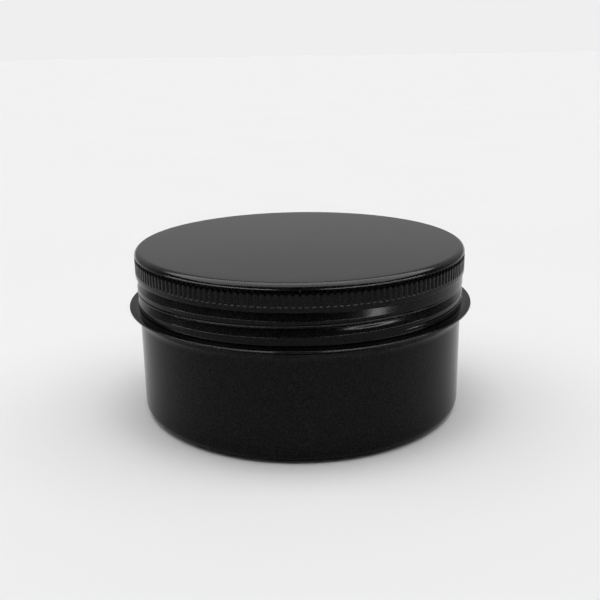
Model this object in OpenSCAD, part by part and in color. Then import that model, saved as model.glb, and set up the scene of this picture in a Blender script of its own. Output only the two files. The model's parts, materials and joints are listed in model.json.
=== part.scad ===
// Round screw-top aluminium candle tin: drawn can, screw lid and foam sealing disc.
// Origin: centre of the base, on the surface that the tin stands on. +Z is up, -Y is the front.

/* [Overall] */
// Height of the closed tin
total_h = 40; // [38:0.5:44]
// Thickness of the aluminium sheet
sheet = 0.35; // [0.3:0.05:0.35]

/* [Can] */
// Diameter of the can's straight wall
wall_d = 78.1; // [77.6:0.1:78.4]
// Radius of the corner between wall and base
base_corner = 2.4; // [1.5:0.1:3]
// How far the base panel stands above the surface
base_recess = 0.6; // [0.3:0.1:0.9]
// Diameter of the base panel, inside the ring that the tin rests on
base_panel_d = 67; // [60:1:68]
// Diameter over the rolled bead below the lid
bead_d = 83; // [82.6:0.1:83.6]
// Height of the bead's centre
bead_z = 26.25; // [26.2:0.05:26.3]
// Thickness of the bead, measured upright
bead_h = 1.24; // [1.2:0.02:1.3]
// Height of the ledge between the bead and the neck
ledge_z = 26.45; // [26.4:0.05:26.5]
// Diameter of the shallow waist just under the bead
waist_d = 77.6; // [77.4:0.1:77.8]
// Height at which the straight wall starts to draw in to the waist
waist_z = 23.95; // [23.5:0.05:24.2]
// Diameter of the neck that the lid screws onto
neck_d = 75.6; // [75.4:0.1:75.6]
// Diameter over the rolled lip of the neck
lip_d = 76.2; // [76.1:0.1:76.2]
// Thickness of the rolled lip
lip_roll = 1.2; // [1:0.1:1.3]

/* [Lid] */
// Diameter of the knurled grip band
lid_d = 79.3; // [79.3:0.1:79.8]
// Radius of the lid's shoulder
lid_shoulder = 1.45; // [1.2:0.05:1.7]
// Number of grip ribs
rib_count = 176; // [120:4:180]
// Depth of the grooves between the ribs
rib_depth = 0.3; // [0.2:0.05:0.35]
// Height of the top of the ribs above the bottom of the ribs
rib_h = 3.6; // [3:0.1:4]
// Height of the smooth lip below the ribs
band_lip_h = 1.2; // [0.9:0.05:1.2]
// Gap between the ledge and the lid's bottom edge
lid_gap = 0.2; // [0.15:0.05:0.4]
// Thickness of the lid's rolled bottom edge
edge_roll = 0.5; // [0.45:0.05:0.55]

/* [Thread] */
// Rise of the lid in one turn
pitch = 3.6; // [3.4:0.1:3.8]
// Inner diameter of the ridge inside the lid
lid_thread_d = 76.6; // [76.6:0.1:76.8]
// Outer diameter of the ridge on the neck
neck_thread_d = 77.3; // [77.1:0.1:77.3]
// Height of the lid's ridge at the front
lid_thread_z = 28.6; // [28.5:0.1:28.8]
// Height of the neck's ridge above the lid's ridge
thread_offset = 1.5; // [1.5:0.1:1.7]

/* [Liner] */
// Thickness of the foam sealing disc
liner_h = 1.5; // [1:0.1:1.6]
// Diameter of the foam sealing disc
liner_d = 75.8; // [75:0.2:75.8]

/* [Hidden] */
$fn = 96;

black_lacquer = [0.07, 0.07, 0.075];
white_foam = [0.93, 0.93, 0.91];
// Steps in each quarter turn of a rounded corner
corner_steps = 6;
// Radius of the outside of the concave bends under the bead and at the foot of the neck
bead_fillet = 0.6;
neck_fillet = 0.8;
// How far the bead's roll goes round, from its underside to its slope down to the ledge
roll_end = 135;
// Space between the closed lid's liner and the lip
seal_gap = 0.1;

wall_r = wall_d / 2;
neck_r = neck_d / 2;
bead_half = bead_h / 2;
bead_r = bead_d / 2 - bead_half;
bead_bottom = bead_z - bead_half;
waist_r = waist_d / 2;
panel_r = base_panel_d / 2;
// Width of the sloping step from the base panel to the rest ring
panel_step = 0.8;
corner_r = wall_r - base_corner;
lip_half = lip_roll / 2;
lip_r = lip_d / 2 - lip_half;

lid_r = lid_d / 2;
skirt_r = lid_r - rib_depth;
shoulder_r = lid_r - lid_shoulder;
shoulder_z = total_h - lid_shoulder;
rib_top = shoulder_z;
rib_bottom = rib_top - rib_h;
band_bottom = rib_bottom - band_lip_h;
edge_half = edge_roll / 2;
edge_z = ledge_z + lid_gap + edge_half;
edge_r = skirt_r - sheet / 2;
liner_bottom = total_h - sheet - liner_h;
lip_z = liner_bottom - seal_gap - lip_half;

// Angle of the front of the tin, and how far each ridge runs from it, anticlockwise from above
front = -90;
lid_thread_run = [-60, 410];
neck_thread_run = [-120, 400];
// Turn over which a ridge grows out of the sheet
thread_fade = 50;
thread_step = 6;
// Share of its full depth that a ridge starts and ends with
thread_start = 0.05;
// Half of the flat on a ridge's tip, and each flank's height for its depth
thread_flat = 0.15;
lid_flanks = [1.15, 1.7];
neck_flanks = [1.05, 0.9];
// How far a groove's cutter stands clear of the sheet that it cuts
groove_clear = 0.07;

// Half width of a rib at its root and at its crest, as shares of the ribs' spacing
rib_root = 0.4;
rib_crest = 0.16;
// How far a rib's crest stays inside the lips, how far its root and the ring inside it go into the wall
rib_inset = 0.05;
rib_seat = 0.05;
rib_ring = 0.03;
// How far the ribs run into the lips above and below them
rib_sink = 0.1;

// Points of an arc about [x, z], from angle a0 to angle a1
function arc(x, z, r, a0, a1) =
    let (steps = ceil(corner_steps * abs(a1 - a0) / 90))
    [for (i = [0:steps]) let (a = a0 + (a1 - a0) * i / steps) [x + r * cos(a), z + r * sin(a)]];

// Height of a ridge's middle line at an angle from the front
function thread_z(z, angle) = z + pitch * angle / 360;

// 0 at the ends of a ridge and 1 along its full part
function thread_growth(run, angle) =
    min(1, (angle - run[0]) / thread_fade, (run[1] - angle) / thread_fade);

// Section of a ridge from root radius to tip radius: flanks are its lower and upper slopes
function thread_section(root, tip, flanks) =
    let (depth = abs(tip - root))
    let (low = -thread_flat - flanks[0] * depth, high = thread_flat + flanks[1] * depth)
    tip > root
        ? [[root, low], [tip, -thread_flat], [tip, thread_flat], [root, high]]
        : [[root, high], [tip, thread_flat], [tip, -thread_flat], [root, low]];

// A helical ridge that grows out of its root radius at both ends of its run
module ridge(root, tip, flanks, z, run) {
    steps = ceil((run[1] - run[0]) / thread_step);
    section = thread_section(root, tip, flanks);
    n = len(section);
    points = [
        for (i = [0:steps])
            let (angle = run[0] + (run[1] - run[0]) * i / steps)
            let (growth = max(thread_start, thread_growth(run, angle)))
            for (p = section)
                let (r = root + (p[0] - root) * growth)
                [r * cos(angle + front), r * sin(angle + front), thread_z(z, angle) + p[1] * growth]
    ];
    sides = [
        for (i = [0:steps - 1])
            for (j = [0:n - 1])
                let (a = i * n + j, b = i * n + (j + 1) % n)
                each [[a, b, b + n], [a, b + n, a + n]]
    ];
    first = [for (j = [n - 1:-1:0]) j];
    last = [for (j = [0:n - 1]) steps * n + j];
    polyhedron(points, concat(sides, [first, last]), convexity = 8);
}

// The can's outside face is at inset 0 and its inside face at inset sheet
function base_path(inset) = concat(
    [
        [0, base_recess + inset],
        [panel_r, base_recess + inset],
        [panel_r + panel_step, inset]
    ],
    arc(corner_r, base_corner, base_corner - inset, -90, 0)
);

// Where the slope inside the bead meets the ledge
function ledge_start(inset) =
    let (roll = bead_half - inset)
    let (drop = bead_z + roll * sin(roll_end) - (ledge_z - inset))
    [bead_r + roll * cos(roll_end) - drop, ledge_z - inset];

function bead_path(inset) = concat(
    [[wall_r - inset, waist_z]],
    arc(waist_r + bead_fillet, bead_bottom - bead_fillet, bead_fillet + inset, 180, 90),
    arc(bead_r, bead_z, bead_half - inset, -90, roll_end),
    [ledge_start(inset)],
    arc(neck_r + neck_fillet, ledge_z + neck_fillet, neck_fillet + inset, 270, 180)
);

function reversed(path) = [for (i = [len(path) - 1:-1:0]) path[i]];

module can_section() {
    from = -acos((neck_r - lip_r) / lip_half);
    to = 360 - acos((neck_r - sheet - lip_r) / lip_half);
    polygon(concat(
        base_path(0),
        bead_path(0),
        arc(lip_r, lip_z, lip_half, from, to),
        reversed(bead_path(sheet)),
        reversed(base_path(sheet))
    ));
}

module tin_body() {
    tip = neck_thread_d / 2;
    inside = neck_r - sheet;
    z = lid_thread_z + thread_offset;
    color(black_lacquer) difference() {
        union() {
            rotate_extrude() can_section();
            ridge(neck_r - sheet / 2, tip, neck_flanks, z, neck_thread_run);
        }
        ridge(inside - groove_clear, tip - sheet, neck_flanks, z, neck_thread_run);
    }
}

// The lid's outside face is at inset 0 and its inside face at inset sheet
function lid_path(inset) = concat(
    [[0, total_h - inset]],
    arc(shoulder_r, shoulder_z, lid_shoulder - inset, 90, 0),
    [
        [skirt_r - inset, rib_top - rib_depth],
        [skirt_r - inset, rib_bottom + rib_depth],
        [lid_r - inset, rib_bottom],
        [lid_r - inset, band_bottom + rib_depth],
        [skirt_r - inset, band_bottom]
    ]
);

module lid_section() {
    from = acos((skirt_r - edge_r) / edge_half);
    to = acos((skirt_r - sheet - edge_r) / edge_half) - 360;
    polygon(concat(
        lid_path(0),
        arc(edge_r, edge_z, edge_half, from, to),
        reversed(lid_path(sheet))
    ));
}

// Ring of upright grip ribs, sunk into the lid's wall and into the lips above and below it
module grip_ribs() {
    rib_angle = 360 / rib_count;
    root = skirt_r - rib_seat;
    crest = lid_r - rib_inset;
    outline = [
        for (i = [0:rib_count - 1])
            for (p = [[root, -rib_root], [crest, -rib_crest], [crest, rib_crest], [root, rib_root]])
                let (a = (i + p[1]) * rib_angle)
                [p[0] * cos(a), p[0] * sin(a)]
    ];
    translate([0, 0, rib_bottom - rib_sink]) linear_extrude(rib_h + 2 * rib_sink) difference() {
        polygon(outline);
        circle(root - rib_ring);
    }
}

module lid_shell() {
    tip = lid_thread_d / 2;
    color(black_lacquer) difference() {
        union() {
            rotate_extrude() lid_section();
            grip_ribs();
            ridge(skirt_r - sheet / 2, tip, lid_flanks, lid_thread_z, lid_thread_run);
        }
        ridge(skirt_r + groove_clear, tip + sheet, lid_flanks, lid_thread_z, lid_thread_run);
    }
}

module lid_liner() {
    color(white_foam) translate([0, 0, liner_bottom]) cylinder(h = liner_h, d = liner_d);
}

tin_body();
lid_shell();
lid_liner();
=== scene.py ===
"""Black screw-top candle tin: drawn can, threaded lid with a knurled band, and a foam sealing disc.

Lengths are in metres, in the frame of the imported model: origin at the centre of the base, +Z up, and
-Y the front.
"""

import json
import math

import bpy
import numpy as np
from mathutils import Matrix, Vector


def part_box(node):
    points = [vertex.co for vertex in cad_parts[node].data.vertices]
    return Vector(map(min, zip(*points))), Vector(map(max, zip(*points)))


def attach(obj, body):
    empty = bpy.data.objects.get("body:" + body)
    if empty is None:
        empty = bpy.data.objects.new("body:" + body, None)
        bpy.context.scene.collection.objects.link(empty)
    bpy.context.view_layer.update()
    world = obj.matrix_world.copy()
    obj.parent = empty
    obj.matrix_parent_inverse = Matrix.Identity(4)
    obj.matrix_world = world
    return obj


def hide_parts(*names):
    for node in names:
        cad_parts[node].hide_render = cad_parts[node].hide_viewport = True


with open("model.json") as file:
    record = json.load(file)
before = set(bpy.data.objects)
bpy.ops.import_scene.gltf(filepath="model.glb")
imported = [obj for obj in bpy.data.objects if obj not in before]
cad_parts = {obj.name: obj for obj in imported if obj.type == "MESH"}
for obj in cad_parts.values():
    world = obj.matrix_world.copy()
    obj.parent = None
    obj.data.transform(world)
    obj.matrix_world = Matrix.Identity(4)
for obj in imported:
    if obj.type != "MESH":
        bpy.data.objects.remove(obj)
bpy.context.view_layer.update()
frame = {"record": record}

MM = 0.001

# ---------------------------------------------------------------- sizes from the frame

record = frame["record"]
_, tin_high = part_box("tin_body")
lid_low, lid_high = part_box("lid_shell")
liner_low, liner_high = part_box("lid_liner")
wall_mount = next(m for m in record["mounts"] if m["name"] == "body_wall")
turn_coupling = record["behaviour"]["couplings"][0]

WALL_R = wall_mount["dims"]["r_mm"] * MM
BEAD_OUTER_R = tin_high[0]
LIP_TOP = tin_high[2]
LID_R = lid_high[0]
LID_TOP = lid_high[2]
LID_BOTTOM = lid_low[2]
LINER_R = liner_high[0]
PITCH = turn_coupling["ratio"] * 2 * math.pi

# ---------------------------------------------------------------- sizes of the sheet and its features

SHEET = 0.35 * MM
BASE_CORNER = 2.4 * MM
BASE_RECESS = 0.6 * MM
BASE_PANEL_R = 33.5 * MM
PANEL_STEP = 0.8 * MM
BEAD_HALF = 0.3 * MM
BEAD_Z = 26.12 * MM
BEAD_FILLET = 0.4 * MM
NOSE_H = 0.2 * MM
NOSE_TILT = math.radians(11.5)
NOSE_ROUND = 0.1 * MM
LEDGE_Z = 26.5 * MM
LEDGE_R = 40.4 * MM
FOLD_Z = 26.06 * MM
FOLD_HALF = 0.06 * MM
NECK_FILLET = 0.8 * MM
WAIST_R = 38.75 * MM
COLLAR_R = 39.18 * MM
COLLAR_Z = 23.95 * MM
COLLAR_TOP = 24.9 * MM
NECK_R = 37.8 * MM
NECK_THREAD = 0.85 * MM
LIP_HALF = 0.6 * MM
LIP_R = 37.5 * MM
LIP_Z = LIP_TOP - LIP_HALF
LIP_ROWS_INSIDE = 6

SHOULDER = 1.45 * MM
SHOULDER_END = 13
RIM_SLOPE_TOP = 0.326 * MM
RIM_SLOPE_END = 0.11 * MM
RIB_COUNT = 176
RIB_DEPTH = 0.3 * MM
RIB_TOP = LID_TOP - SHOULDER
RIB_BOTTOM = RIB_TOP - 3.6 * MM
BAND_BOTTOM = RIB_BOTTOM - 1.2 * MM
SKIRT_R = LID_R - RIB_DEPTH
EDGE_HALF = 0.18 * MM
EDGE_FLARE = 0.04 * MM
EDGE_R = SKIRT_R + EDGE_FLARE - SHEET / 2
EDGE_Z = LID_BOTTOM + EDGE_HALF
LID_THREAD = 0.65 * MM
LID_THREAD_Z = 30.2 * MM
# The groove is shallower around one place, in degrees from the front, by a share of its depth
SLACK_AT = 21
SLACK_SPREAD = 11
SLACK_DEPTH = 0.26
GROOVE_FLANKS = (1.6 * MM, 0.36 * MM)
RIDGE_FLANKS = (1.75 * MM, 1.1 * MM)
THREAD_DROP = 0.15 * MM
NECK_THREAD_Z = LID_THREAD_Z + 1.2 * MM
NECK_FLANKS = (1.05 * MM, 0.95 * MM)
CREASE_Z = 27.5 * MM

# Each ridge's run in degrees from the front, anticlockwise from above
LID_RUN = (-130, 410)
NECK_RUN = (-120, 400)
CREASE_RUN = (20, 425)

COLUMNS = 176
RIB_SAMPLES = 8

# ---------------------------------------------------------------- the studio

# Brightness of the backdrop, the room and the wall behind, and the elevation up to which that wall is bright
BACKDROP = 0.863
ROOM = 0.04
BACK_WALL = 0.52
BACK_WALL_TOP = 38.0
FLOOR_REACH = 40.0
PANEL_DISTANCE = 2.0

# ---------------------------------------------------------------- mesh helpers


def smooth(t):
    """0 below 0 and 1 above 1, with a smooth rise between."""
    t = np.clip(t, 0, 1)
    return t * t * (3 - 2 * t)


def ease(t, soft=0.02):
    """Straight from 0 to 1, with small roundings at both ends."""
    rise = (np.sqrt(t * t + soft * soft) - np.sqrt((t - 1) ** 2 + soft * soft) + 1) / 2
    return np.clip(rise - 0.001, 0, 1)


def arc(x, z, r, start, end, steps):
    """Points of an arc about (x, z), from one angle to the other in degrees."""
    angles = np.radians(np.linspace(start, end, steps + 1))
    return [(x + r * math.cos(a), z + r * math.sin(a)) for a in angles]


def line(start, end, steps):
    """Points after start, up to and with end."""
    start = np.array(start)
    reach = np.array(end) - start
    return [tuple(start + reach * i / steps) for i in range(1, steps + 1)]


def azimuths(count):
    """Angles from the front, -180 up to 180 degrees, of one row of points."""
    return np.arange(count) * 360 / count - 180


def ring(r, z, angles):
    """Points at radius r and height z; both may vary along the row."""
    a = np.radians(angles)
    r = np.broadcast_to(r, a.shape)
    z = np.broadcast_to(z, a.shape)
    return np.stack([r * np.sin(a), -r * np.cos(a), z], -1)


def strip(a, b):
    """Faces between two closed rows of point numbers, of equal length or one a multiple of the other."""
    if len(a) == 1:
        return [(a[0], b[i], b[(i + 1) % len(b)]) for i in range(len(b))]
    if len(b) == 1:
        return [(a[(i + 1) % len(a)], a[i], b[0]) for i in range(len(a))]
    if len(a) == len(b):
        n = len(a)
        return [(a[i], b[i], b[(i + 1) % n], a[(i + 1) % n]) for i in range(n)]
    if len(a) > len(b):
        return [tuple(reversed(f)) for f in strip(b, a)]
    faces = []
    step = len(b) // len(a)
    half = step // 2
    for i, here in enumerate(a):
        after = a[(i + 1) % len(a)]
        fine = [b[(i * step + k) % len(b)] for k in range(step + 1)]
        faces += [(here, fine[k], fine[k + 1]) for k in range(half)]
        faces.append((here, fine[half], after))
        faces += [(after, fine[k], fine[k + 1]) for k in range(half, step)]
    return faces


def build(name, rows, values, materials, material_of_row):
    """A closed surface from rows of points; values maps attribute names to one array per row."""
    numbers = []
    count = 0
    for row in rows:
        numbers.append(list(range(count, count + len(row))))
        count += len(row)
    faces = []
    slots = []
    for i in range(len(rows) - 1):
        made = strip(numbers[i], numbers[i + 1])
        faces += made
        slots += [material_of_row(i)] * len(made)
    mesh = bpy.data.meshes.new(name)
    mesh.from_pydata(np.concatenate(rows).tolist(), [], faces)
    for m in materials:
        mesh.materials.append(m)
    mesh.polygons.foreach_set("material_index", slots)
    mesh.polygons.foreach_set("use_smooth", [True] * len(faces))
    for key, per_row in values.items():
        attribute = mesh.attributes.new(key, "FLOAT", "POINT")
        attribute.data.foreach_set("value", np.concatenate(per_row).astype(np.float32))
    mesh.update()
    piece = bpy.data.objects.new(name, mesh)
    bpy.context.collection.objects.link(piece)
    return piece


# ---------------------------------------------------------------- threads


def ridge_height(z, angles, start_z, run, flanks, top, fade=50):
    """From 0 to 1, how far a helical ridge stands out at height z; its middle line stays below top."""
    height = np.zeros(np.broadcast(z, angles).shape)
    for turn in range(-1, 3):
        along = angles + 360 * turn
        growth = smooth(np.minimum(along - run[0], run[1] - along) / fade)
        away = z - np.minimum(start_z + PITCH * along / 360, top)
        flank = np.where(away < 0, -away / flanks[0], away / flanks[1])
        height = np.maximum(height, growth * ease(1 - flank))
    return height


def crease(z, angles):
    """Depth of the fine crease that follows the lower edge of the lid's thread."""
    depth = np.zeros(np.broadcast(z, angles).shape)
    for turn in range(0, 3):
        along = angles + 360 * turn
        growth = smooth(np.minimum(along - CREASE_RUN[0], CREASE_RUN[1] - along) / 40)
        away = (z - (CREASE_Z + PITCH * along / 360)) / MM
        notch = 0.11 * np.exp(-(away / 0.13) ** 2) - 0.05 * np.exp(-((away + 0.33) / 0.16) ** 2)
        depth = depth + growth * notch * MM
    return depth


# ---------------------------------------------------------------- materials


def node_maker(tree):
    def node(kind, inputs=None, **settings):
        made = tree.nodes.new(kind)
        for key, value in settings.items():
            setattr(made, key, value)
        for key, value in (inputs or {}).items():
            if isinstance(value, bpy.types.NodeSocket):
                tree.links.new(value, made.inputs[key])
            else:
                made.inputs[key].default_value = value
        return made

    return node


def new_material(name):
    """A material with its node maker, its Principled shader and the piece's own coordinates."""
    material = bpy.data.materials.new(name)
    material.use_nodes = True
    tree = material.node_tree
    shader = tree.nodes["Principled BSDF"]
    node = node_maker(tree)
    place = node("ShaderNodeTexCoord").outputs["Object"]
    return material, tree, node, shader, place


def ramp(node, value, low, high, start=0.0, end=1.0):
    """value from low..high brought to start..end, held at both ends."""
    limits = {"From Min": low, "From Max": high, "To Min": start, "To Max": end}
    return node("ShaderNodeMapRange", {"Value": value, **limits}).outputs["Result"]


def blend_colour(node, factor, a, b):
    made = node("ShaderNodeMix", data_type="RGBA")
    tree = made.id_data
    for socket, value in ((made.inputs[0], factor), (made.inputs[6], a), (made.inputs[7], b)):
        if isinstance(value, bpy.types.NodeSocket):
            tree.links.new(value, socket)
        else:
            socket.default_value = value
    return made.outputs[2]


def calc(node, operation, a, b=0.0, c=0.0):
    made = node("ShaderNodeMath", {0: a, 1: b, 2: c}, operation=operation)
    return made.outputs[0]


def noise(node, vector, scale, detail, roughness=0.5, distortion=0.0):
    """Noise from 0 to 1, with scale in features per metre."""
    inputs = {"Vector": vector, "Scale": scale, "Detail": detail, "Roughness": roughness}
    return node("ShaderNodeTexNoise", {**inputs, "Distortion": distortion}).outputs["Fac"]


def bump(node, height, strength, distance, under=None, invert=False):
    """The surface's normal tilted by height, on top of the normal under it."""
    inputs = {"Height": height, "Strength": strength, "Distance": distance}
    if under is not None:
        inputs["Normal"] = under
    return node("ShaderNodeBump", inputs, invert=invert).outputs["Normal"]


def black_lacquer(name):
    """Matt black lacquer: grain, faint mottling, a few dust specks, worn edges, a painted sheen on the can's
    collar and painted shade that darkens and dulls recesses.
    """
    material, tree, node, shader, place = new_material(name)
    grain = noise(node, place, 2600.0, 2.0, 0.7)
    mottle = noise(node, place, 240.0, 4.0, 0.6)
    cloud = noise(node, place, 38.0, 3.0, 0.55)
    wear_and_sheen = node("ShaderNodeAttribute", attribute_name="wear_and_sheen").outputs["Fac"]
    # This attribute holds painted shade: it darkens recesses, the groove under the bead and the corners
    # under the rim, and dims their reflections
    painted_shade = node("ShaderNodeAttribute", attribute_name="painted_shade").outputs["Fac"]

    cell = node("ShaderNodeTexVoronoi", {"Vector": place, "Scale": 520.0}, feature="F1")
    pick = node("ShaderNodeSeparateColor", {"Color": cell.outputs["Color"]}).outputs[0]
    chosen = ramp(node, pick, 0.975, 0.985)
    dot = ramp(node, cell.outputs["Distance"], 0.11, 0.07)
    speck = calc(node, "MULTIPLY", chosen, dot)

    shade = ramp(node, cloud, 0.3, 0.7)
    base = blend_colour(node, shade, (0.0012, 0.0011, 0.0012, 1), (0.0020, 0.0018, 0.0019, 1))
    grains = ramp(node, grain, 0.42, 0.66)
    grainy = blend_colour(node, grains, base, (0.0135, 0.0125, 0.0130, 1))
    # Worn crests, edges and lip are lighter; on the can's collar the same lightening is a painted sheen
    lighten = calc(node, "MULTIPLY", wear_and_sheen, ramp(node, mottle, 0.35, 0.7))
    lightened = blend_colour(node, lighten, grainy, (0.0170, 0.0160, 0.0165, 1))
    # Painted shade: the colour goes near black where the attribute above marks shade
    deep = blend_colour(node, painted_shade, lightened, (0.0010, 0.0009, 0.0010, 1))
    dusty = blend_colour(node, speck, deep, (0.07, 0.068, 0.065, 1))
    tree.links.new(dusty, shader.inputs["Base Color"])
    # Painted shade also lowers the gloss there, dimming reflections where shade falls
    tree.links.new(ramp(node, painted_shade, 0.0, 1.0, 0.104, 0.012), shader.inputs["Specular IOR Level"])

    uneven = ramp(node, mottle, 0.3, 0.7, 0.14, 0.18)
    rough = calc(node, "ADD", uneven, calc(node, "MULTIPLY", wear_and_sheen, -0.05))
    rough = calc(node, "ADD", rough, calc(node, "MULTIPLY", speck, 0.3))
    tree.links.new(rough, shader.inputs["Roughness"])
    shader.inputs["IOR"].default_value = 1.45
    shader.inputs["Specular Tint"].default_value = (1.0, 0.96, 0.985, 1.0)

    fine = bump(node, grain, 0.14, 0.00003)
    peel = bump(node, mottle, 0.08, 0.00005, fine)
    tree.links.new(bump(node, speck, 0.5, 0.00005, peel), shader.inputs["Normal"])
    return material


def bare_aluminium(name):
    """Clear-lacquered drawn aluminium: fine upright draw lines and a few faint scuffs."""
    material, tree, node, shader, place = new_material(name)
    stretched = node("ShaderNodeMapping", {"Vector": place, "Scale": (1.0, 1.0, 0.04)})
    draw = noise(node, stretched.outputs[0], 2600.0, 3.0, 0.6)
    cloud = noise(node, place, 60.0, 4.0, 0.6)
    scuff = noise(node, place, 900.0, 5.0, 0.7, 1.2)
    tone = ramp(node, cloud, 0.3, 0.7)
    base = blend_colour(node, tone, (0.66, 0.66, 0.67, 1), (0.76, 0.76, 0.76, 1))
    lines = ramp(node, draw, 0.45, 0.8, 0.0, 0.5)
    tree.links.new(blend_colour(node, lines, base, (0.58, 0.58, 0.59, 1)), shader.inputs["Base Color"])
    shader.inputs["Metallic"].default_value = 1.0
    drawn = ramp(node, draw, 0.3, 0.7, 0.24, 0.36)
    scuffed = ramp(node, scuff, 0.5, 0.8, 0.0, 0.12)
    tree.links.new(calc(node, "ADD", drawn, scuffed), shader.inputs["Roughness"])
    grooves = bump(node, draw, 0.3, 0.00002)
    tree.links.new(bump(node, scuff, 0.2, 0.00003, grooves), shader.inputs["Normal"])
    return material


def white_foam(name):
    """Expanded polyethylene foam: fine closed cells under a faint skin."""
    material, tree, node, shader, place = new_material(name)
    cell = node("ShaderNodeTexVoronoi", {"Vector": place, "Scale": 2400.0}, feature="SMOOTH_F1")
    cell = cell.outputs["Distance"]
    cloud = noise(node, place, 90.0, 3.0)
    shade = ramp(node, cloud, 0.3, 0.7)
    tone = blend_colour(node, shade, (0.80, 0.80, 0.78, 1), (0.88, 0.88, 0.86, 1))
    pitted = ramp(node, cell, 0.35, 0.75, 0.0, 0.5)
    tree.links.new(blend_colour(node, pitted, tone, (0.62, 0.62, 0.60, 1)), shader.inputs["Base Color"])
    tree.links.new(ramp(node, cell, 0.1, 0.7, 0.55, 0.8), shader.inputs["Roughness"])
    tree.links.new(bump(node, cell, 0.5, 0.00008, invert=True), shader.inputs["Normal"])
    return material


# ---------------------------------------------------------------- the can


def wall_path(inset):
    """Outline from the base's centre to the top of the collar, at inset from the can's outside face."""
    corner_r = WALL_R - BASE_CORNER
    points = [(0, BASE_RECESS + inset)]
    points += line(points[-1], (BASE_PANEL_R - 0.3 * MM, BASE_RECESS + inset), 6)
    points += line(points[-1], (BASE_PANEL_R + 0.1 * MM, BASE_RECESS + inset - 0.06 * MM), 1)
    points += line(points[-1], (BASE_PANEL_R + PANEL_STEP - 0.1 * MM, inset + 0.06 * MM), 3)
    points += line(points[-1], (BASE_PANEL_R + PANEL_STEP + 0.3 * MM, inset), 1)
    points += arc(corner_r, BASE_CORNER, BASE_CORNER - inset, -90, 0, 12)
    points += line(points[-1], (WALL_R - inset, COLLAR_Z), 18)
    points += line(points[-1], (COLLAR_R - inset, COLLAR_Z + 0.12 * MM), 2)
    points += line(points[-1], (COLLAR_R - inset, COLLAR_TOP - 0.02 * MM), 3)
    points += [(COLLAR_R - inset, COLLAR_TOP), (COLLAR_R - 0.02 * MM - inset, COLLAR_TOP + 0.015 * MM)]
    return points


def bead_outside():
    """Outside of the folded bead, from the groove under it to the foot of the neck."""
    bottom = BEAD_Z - BEAD_HALF
    nose_r = BEAD_OUTER_R - BEAD_HALF
    top_r = BEAD_OUTER_R - NOSE_H * math.sin(NOSE_TILT)
    top_z = BEAD_Z + NOSE_H * math.cos(NOSE_TILT)
    points = [(WAIST_R, bottom - BEAD_FILLET)]
    points += arc(WAIST_R + BEAD_FILLET, bottom - BEAD_FILLET, BEAD_FILLET, 180, 90, 6)[1:]
    points += arc(nose_r, BEAD_Z, BEAD_HALF, -90, 0, 10)
    points += line(points[-1], (top_r, top_z), 3)
    points += arc(top_r - NOSE_ROUND, top_z, NOSE_ROUND, 20, 90, 4)
    points += line(points[-1], (LEDGE_R, LEDGE_Z), 4)
    points += arc(NECK_R + NECK_FILLET, LEDGE_Z + NECK_FILLET, NECK_FILLET, 270, 180, 7)
    return points


def bead_inside():
    """Inside of the bead: the fold is pressed shut, and only its line shows."""
    r = WAIST_R - SHEET
    points = [(r, FOLD_Z - 0.3 * MM), (r, FOLD_Z - FOLD_HALF)]
    points += [(r + 0.15 * MM, FOLD_Z), (r, FOLD_Z + FOLD_HALF)]
    points += arc(NECK_R + NECK_FILLET, LEDGE_Z + NECK_FILLET, NECK_FILLET + SHEET, 253, 180, 7)
    return points


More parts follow.
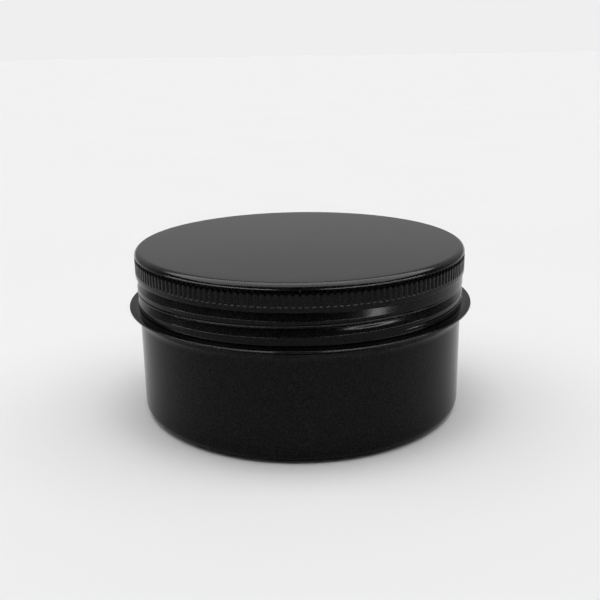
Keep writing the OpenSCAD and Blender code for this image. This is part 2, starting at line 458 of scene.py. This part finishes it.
def make_can(outside, inside):
    """The can in one closed sheet, with the thread rolled into both faces of the neck."""
    lip_from = -math.degrees(math.acos((NECK_R - LIP_R) / LIP_HALF))
    lip_to = 360 - math.degrees(math.acos((NECK_R - SHEET - LIP_R) / LIP_HALF))
    outer = wall_path(0) + bead_outside()
    lip = arc(LIP_R, LIP_Z, LIP_HALF, lip_from, lip_to, 22)
    inner = (wall_path(SHEET) + bead_inside())[::-1]
    neck_out = line(outer[-1], lip[0], 50)[:-1]
    neck_in = line(lip[-1], inner[0], 44)[:-1]
    path = outer + neck_out + lip + neck_in + inner
    neck_low = outer[-1][1] - 0.1 * MM
    neck_high = lip[0][1] + 0.1 * MM
    angles = azimuths(COLUMNS)
    inner_from = len(outer) + len(neck_out) + len(lip) - LIP_ROWS_INSIDE
    rows = []
    wear_and_sheen = []
    painted_shade = []
    for i, (r, z) in enumerate(path):
        if r == 0:
            rows.append(np.array([[0.0, 0.0, z]]))
            wear_and_sheen.append(np.zeros(1))
            painted_shade.append(np.zeros(1))
            continue
        shift = np.zeros(COLUMNS)
        on_neck = neck_low < z < neck_high and abs(r - NECK_R) < 0.7 * MM
        if on_neck:
            shift = NECK_THREAD * ridge_height(z, angles, NECK_THREAD_Z, NECK_RUN, NECK_FLANKS, LIP_Z)
        rows.append(ring(r + shift, z, angles))
        # The collar under the bead is made lighter as a painted sheen for the light it catches; the neck
        # thread's crests and the lip are lighter from real wear
        on_collar = r > WALL_R + 0.1 * MM and COLLAR_Z + 0.1 * MM < z < COLLAR_TOP - 0.01 * MM
        lightened = np.full(COLUMNS, 0.8 if on_collar else 0.0)
        if on_neck and i < inner_from:
            lightened = np.maximum(lightened, 0.7 * smooth(shift / NECK_THREAD * 2 - 1))
        if z > LIP_Z and abs(r - LIP_R) < LIP_HALF * 1.05:
            lightened = np.maximum(lightened, 0.4)
        wear_and_sheen.append(lightened)
        # Painted shade: black in the groove under the bead, where shade falls, and partly dark on the ledge
        # above it
        under_bead = COLLAR_TOP + 0.01 * MM < z < BEAD_Z - BEAD_HALF + 0.01 * MM
        on_ledge = LEDGE_Z - 0.1 * MM < z < LEDGE_Z + 0.1 * MM and r > SKIRT_R
        painted_shade.append(np.full(COLUMNS, 1.0 if under_bead else 0.6 if on_ledge else 0.0))
    values = {"wear_and_sheen": wear_and_sheen, "painted_shade": painted_shade}
    piece = build("can", rows, values, [outside, inside], lambda i: int(i >= inner_from))
    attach(piece, "tin")
    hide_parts("tin_body")
    return piece


# ---------------------------------------------------------------- the lid


def rib_recess(z, angles):
    """From 0 to 1, how deep the knurling is: round grooves between ribs whose tops are arched."""
    phase = (angles * RIB_COUNT / 360) % 1 - 0.5
    across = np.abs(phase) * 2
    groove = smooth((across - 0.42) / 0.5)
    top = RIB_TOP - 0.68 * MM - 0.3 * MM * across ** 2
    foot = RIB_BOTTOM + 0.3 * MM * (1 - across) ** 2
    under_top = ease((z - top) / (0.58 * MM))
    above_foot = ease((z - foot) / (0.12 * MM))
    return np.maximum(groove * above_foot, under_top)


def rib_shadow(z, angles):
    """Painted shade in the corners under the rim, deepest between the ribs."""
    across = np.abs((angles * RIB_COUNT / 360) % 1 - 0.5) * 2
    reach = RIB_TOP - 0.72 * MM - 0.55 * MM * across ** 1.5
    return smooth((z - reach) / (0.16 * MM) + 0.5) * smooth((RIB_TOP + 0.02 * MM - z) / (0.05 * MM))


def thread_depth(z, angles, flanks):
    """From 0 to 1, how deep the lid's rolled thread is at height z."""
    return ridge_height(z, angles, LID_THREAD_Z, LID_RUN, flanks, BAND_BOTTOM - THREAD_DROP)


def make_lid(outside, inside):
    """The lid in one closed sheet, with knurled band, rolled thread and rolled bottom edge."""
    shoulder_r = LID_R - SHOULDER
    shoulder_z = LID_TOP - SHOULDER
    coarse = azimuths(COLUMNS)
    fine = azimuths(RIB_COUNT * RIB_SAMPLES)
    rows = [np.array([[0.0, 0.0, LID_TOP]])]
    wear_and_sheen = [np.zeros(1)]
    painted_shade = [np.zeros(1)]

    def add(points, lighten, dim=0.0):
        rows.append(points)
        wear_and_sheen.append(np.broadcast_to(lighten, len(points)).astype(float))
        painted_shade.append(np.broadcast_to(dim, len(points)).astype(float))

    for i in range(1, 12):
        r = shoulder_r * i / 12
        sag = 0.03 * MM * (1 - smooth((r - shoulder_r * 0.75) / (shoulder_r * 0.25)))
        add(ring(r, LID_TOP - sag, coarse), 0)
    for r, z in arc(shoulder_r, shoulder_z, SHOULDER, 90, SHOULDER_END, 14):
        add(ring(r, z, coarse), 0)
    slope_from = (shoulder_r + SHOULDER * math.cos(math.radians(SHOULDER_END)), RIB_TOP + RIM_SLOPE_TOP)
    for r, z in line(slope_from, (LID_R, RIB_TOP + RIM_SLOPE_END), 3):
        add(ring(r, z, coarse), 0)
    rib_heights = list(np.linspace(RIB_TOP + 0.09 * MM, RIB_TOP - 0.15 * MM, 5))
    rib_heights += list(np.linspace(RIB_TOP - 0.2 * MM, RIB_TOP - 1.1 * MM, 16))
    rib_heights += list(np.linspace(RIB_TOP - 1.3 * MM, RIB_BOTTOM + 0.55 * MM, 4))
    rib_heights += list(np.linspace(RIB_BOTTOM + 0.4 * MM, RIB_BOTTOM - 0.05 * MM, 9))
    for z in rib_heights:
        depth = rib_recess(z, fine)
        inside_rim = smooth((z - RIB_TOP + 0.03 * MM) / (0.1 * MM))
        depth = depth * (1 - inside_rim)
        lightened = 0.12 * smooth(1 - 2.2 * depth)
        # The rib tops carry painted shadow under the rim
        add(ring(LID_R - RIB_DEPTH * depth, z, fine), lightened, rib_shadow(z, fine))
    for z in np.linspace(RIB_BOTTOM - 0.25 * MM, BAND_BOTTOM + 0.35 * MM, 4):
        add(ring(LID_R, z, coarse), 0.15)
    for r, z in arc(LID_R - 0.35 * MM, BAND_BOTTOM + 0.35 * MM, 0.35 * MM, -15, -90, 5):
        add(ring(r, z, coarse), 0.15)
    first_z = BAND_BOTTOM - 0.06 * MM
    edge_from = math.degrees(math.acos((SKIRT_R + EDGE_FLARE - EDGE_R) / EDGE_HALF))
    edge_to = math.degrees(math.acos((SKIRT_R + EDGE_FLARE - SHEET - EDGE_R) / EDGE_HALF)) - 360
    edge = arc(EDGE_R, EDGE_Z, EDGE_HALF, edge_from, edge_to, 14)
    for z in np.linspace(first_z, edge[0][1] + 0.08 * MM, 130):
        flare = EDGE_FLARE * ease((edge[0][1] + 0.7 * MM - z) / (0.7 * MM))
        sunk = thread_depth(z, coarse, GROOVE_FLANKS)
        slack = np.exp(-((coarse - SLACK_AT) / SLACK_SPREAD) ** 2)
        slack = slack * smooth((LID_THREAD_Z + 0.9 * MM - z) / (0.3 * MM))
        sunk = sunk - SLACK_DEPTH * slack * smooth((sunk - 0.4) / 0.6)
        fold = crease(z, coarse)
        # Painted shade in the deepest part of the thread's groove and along the crease
        dim = np.maximum(smooth((sunk - 0.84) / 0.12), smooth(fold / (0.09 * MM)))
        add(ring(SKIRT_R + flare - LID_THREAD * sunk - fold, z, coarse), 0, dim)
    for r, z in edge:
        add(ring(r, z, coarse), 0.1)
    inner_from = len(rows) - 4
    for z in np.linspace(edge[-1][1] + 0.15 * MM, BAND_BOTTOM, 40):
        add(ring(SKIRT_R - SHEET - LID_THREAD * thread_depth(z, coarse, RIDGE_FLANKS), z, coarse), 0)
    band_in = [(LID_R - SHEET, BAND_BOTTOM + SHEET), (LID_R - SHEET, RIB_BOTTOM)]
    band_in += [(SKIRT_R - SHEET, RIB_BOTTOM + RIB_DEPTH)]
    band_in += line(band_in[-1], (SKIRT_R - SHEET, RIB_TOP - 0.3 * MM), 3)
    for r, z in band_in + arc(shoulder_r, shoulder_z, SHOULDER - SHEET, 0, 90, 8):
        add(ring(r, z, coarse), 0)
    for i in range(5, 0, -1):
        add(ring(shoulder_r * i / 6, LID_TOP - SHEET, coarse), 0)
    add(np.array([[0.0, 0.0, LID_TOP - SHEET]]), 0)
    # The rows run from the top's centre outwards, so the faces are turned to look out
    rows.reverse()
    wear_and_sheen.reverse()
    painted_shade.reverse()
    count = len(rows)
    values = {"wear_and_sheen": wear_and_sheen, "painted_shade": painted_shade}
    piece = build("lid", rows, values, [outside, inside], lambda i: int(count - 2 - i >= inner_from))
    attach(piece, "lid")
    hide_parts("lid_shell")
    return piece


# ---------------------------------------------------------------- the foam disc


def make_liner(foam):
    """The sealing disc, pressed thin in a ring where the lip bears on it."""
    low = liner_low[2]
    high = liner_high[2]
    round_r = 0.25 * MM
    angles = azimuths(COLUMNS)
    path = [(0, low)] + line((0, low), (35.6 * MM, low), 10)
    path += line(path[-1], (LINER_R - round_r, low), 14)
    path += arc(LINER_R - round_r, low + round_r, round_r, -90, 0, 4)
    path += arc(LINER_R - round_r, high - round_r, round_r, 0, 90, 4)
    path += line(path[-1], (0, high), 8)
    rows = []
    for r, z in path:
        if r == 0:
            rows.append(np.array([[0.0, 0.0, z]]))
            continue
        pressed = 0.14 * MM * smooth(1 - abs(r - LIP_R) / (0.9 * MM)) if z < low + 0.01 * MM else 0.0
        wave = 0.02 * MM * np.sin(np.radians(angles) * 7 + r * 900) if z < low + 0.01 * MM else 0.0
        rows.append(ring(r, z + pressed + abs(wave), angles))
    piece = build("foam_disc", rows, {}, [foam], lambda i: 0)
    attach(piece, "seal")
    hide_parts("lid_liner")
    return piece


# ---------------------------------------------------------------- stage, lights and camera


def make_floor():
    """A pale floor that reaches far beyond the picture."""
    corners = ((-1, -1), (1, -1), (1, 1), (-1, 1))
    points = [(x * reach, y * reach, 0.0) for reach in (FLOOR_REACH, 1.0) for x, y in corners]
    faces = [(4, 5, 6, 7)] + [(i, (i + 1) % 4, (i + 1) % 4 + 4, i + 4) for i in range(4)]
    mesh = bpy.data.meshes.new("floor")
    mesh.from_pydata(points, [], faces)
    floor = bpy.data.objects.new("floor", mesh)
    bpy.context.collection.objects.link(floor)
    material, tree, node, shader, place = new_material("paper_floor")
    shade = ramp(node, noise(node, place, 9.0, 2.0), 0.3, 0.7)
    tone = blend_colour(node, shade, (0.80, 0.80, 0.80, 1), (0.81, 0.81, 0.81, 1))
    tree.links.new(tone, shader.inputs["Base Color"])
    shader.inputs["Roughness"].default_value = 0.9
    shader.inputs["Specular IOR Level"].default_value = 0.0
    mesh.materials.append(material)
    return floor


def make_world():
    """A dark studio with a pale wall behind; the camera itself sees a plain pale backdrop."""
    world = bpy.data.worlds.new("studio")
    bpy.context.scene.world = world
    world.use_nodes = True
    tree = world.node_tree
    node = node_maker(tree)
    background = tree.nodes["Background"]
    direction = node("ShaderNodeTexCoord").outputs["Generated"]
    axes = node("ShaderNodeSeparateXYZ", {"Vector": direction}).outputs
    elevation = calc(node, "MULTIPLY", calc(node, "ARCSINE", axes["Z"]), 180 / math.pi)
    wall = ramp(node, axes["Y"], 0.1, 0.55, 0.0, BACK_WALL)
    rising = ramp(node, elevation, 4.0, 22.0, 0.75, 1.35)
    falling = ramp(node, elevation, BACK_WALL_TOP, BACK_WALL_TOP + 25, 1.35, 0.05)
    low_wall = calc(node, "MINIMUM", rising, falling)
    light = calc(node, "MULTIPLY_ADD", wall, low_wall, ROOM)
    seen = node("ShaderNodeLightPath").outputs["Is Camera Ray"]
    shown = node("ShaderNodeMix", data_type="FLOAT")
    tree.links.new(seen, shown.inputs[0])
    tree.links.new(light, shown.inputs[2])
    shown.inputs[3].default_value = BACKDROP
    grey = node("ShaderNodeCombineColor", {0: shown.outputs[0], 1: shown.outputs[0], 2: shown.outputs[0]})
    tree.links.new(grey.outputs[0], background.inputs["Color"])
    background.inputs["Strength"].default_value = 1.0


def overhead_light(name, azimuth, elevation, spread, strength):
    """A wide, far, round soft light at an azimuth (0 is the front, 90 is +X) and elevation, in degrees."""
    data = bpy.data.lights.new(name, "SUN")
    data.energy = strength
    data.angle = math.radians(spread)
    lamp = bpy.data.objects.new(name, data)
    a = math.radians(azimuth)
    e = math.radians(elevation)
    away = Vector((math.sin(a) * math.cos(e), -math.cos(a) * math.cos(e), math.sin(e)))
    lamp.location = away
    lamp.rotation_euler = away.to_track_quat("Z", "Y").to_euler()
    bpy.context.collection.objects.link(lamp)
    return lamp


def reflected_panel(name, azimuth, elevation, width, height, radiance):
    """A panel that shows in reflections but leaves the floor's light alone; place and size in degrees."""
    data = bpy.data.lights.new(name, "AREA")
    data.shape = "RECTANGLE"
    data.size = 2 * PANEL_DISTANCE * math.tan(math.radians(width / 2))
    data.size_y = 2 * PANEL_DISTANCE * math.tan(math.radians(height / 2))
    data.energy = radiance * math.pi * data.size * data.size_y
    lamp = bpy.data.objects.new(name, data)
    a = math.radians(azimuth)
    e = math.radians(elevation)
    away = Vector((math.sin(a) * math.cos(e), -math.cos(a) * math.cos(e), math.sin(e)))
    lamp.location = Vector((0, 0, 0.03)) + away * PANEL_DISTANCE
    lamp.rotation_euler = away.to_track_quat("Z", "Y").to_euler()
    lamp.visible_diffuse = False
    bpy.context.collection.objects.link(lamp)
    return lamp


def make_camera():
    """The camera of the reference view: nearly level with the tin's front, five lid radii from its axis."""
    away = 5.0 * LID_R
    height = 2.10834 * LID_R
    pitch = 0.28758
    yaw = -0.00016
    roll = -0.0148
    data = bpy.data.cameras.new("camera")
    data.sensor_width = 36
    data.lens = 49.917
    data.clip_start = 0.01
    data.dof.use_dof = False
    camera = bpy.data.objects.new("camera", data)
    forward = Vector((math.sin(yaw) * math.cos(pitch), math.cos(yaw) * math.cos(pitch), -math.sin(pitch)))
    right = forward.cross(Vector((0, 0, 1))).normalized()
    up = right.cross(forward)
    turned_right = right * math.cos(roll) + up * math.sin(roll)
    turned_up = up * math.cos(roll) - right * math.sin(roll)
    axes = Matrix((turned_right, turned_up, -forward)).transposed().to_4x4()
    camera.matrix_world = Matrix.Translation((0, -away, height)) @ axes
    bpy.context.collection.objects.link(camera)
    bpy.context.scene.camera = camera


make_camera()
make_world()
make_floor()
overhead_light("overhead", 180, 88, 40, 1.22)
overhead_light("left_overhead", -90, 57, 50, 0.98)
overhead_light("right_overhead", 90, 57, 50, 0.98)
reflected_panel("left_strip", -56, 4.5, 80, 6, 23.0)
reflected_panel("right_strip", 51, 4.5, 74, 6, 23.0)
reflected_panel("top_panel", 0, 86, 116, 80, 8.0)

body_black = black_lacquer("body_lacquer")
lid_black = black_lacquer("lid_lacquer")
inner_metal = bare_aluminium("inner_aluminium")
make_can(body_black, inner_metal)
make_lid(lid_black, inner_metal)
make_liner(white_foam("liner_foam"))

bpy.context.scene.view_settings.view_transform = "Standard"
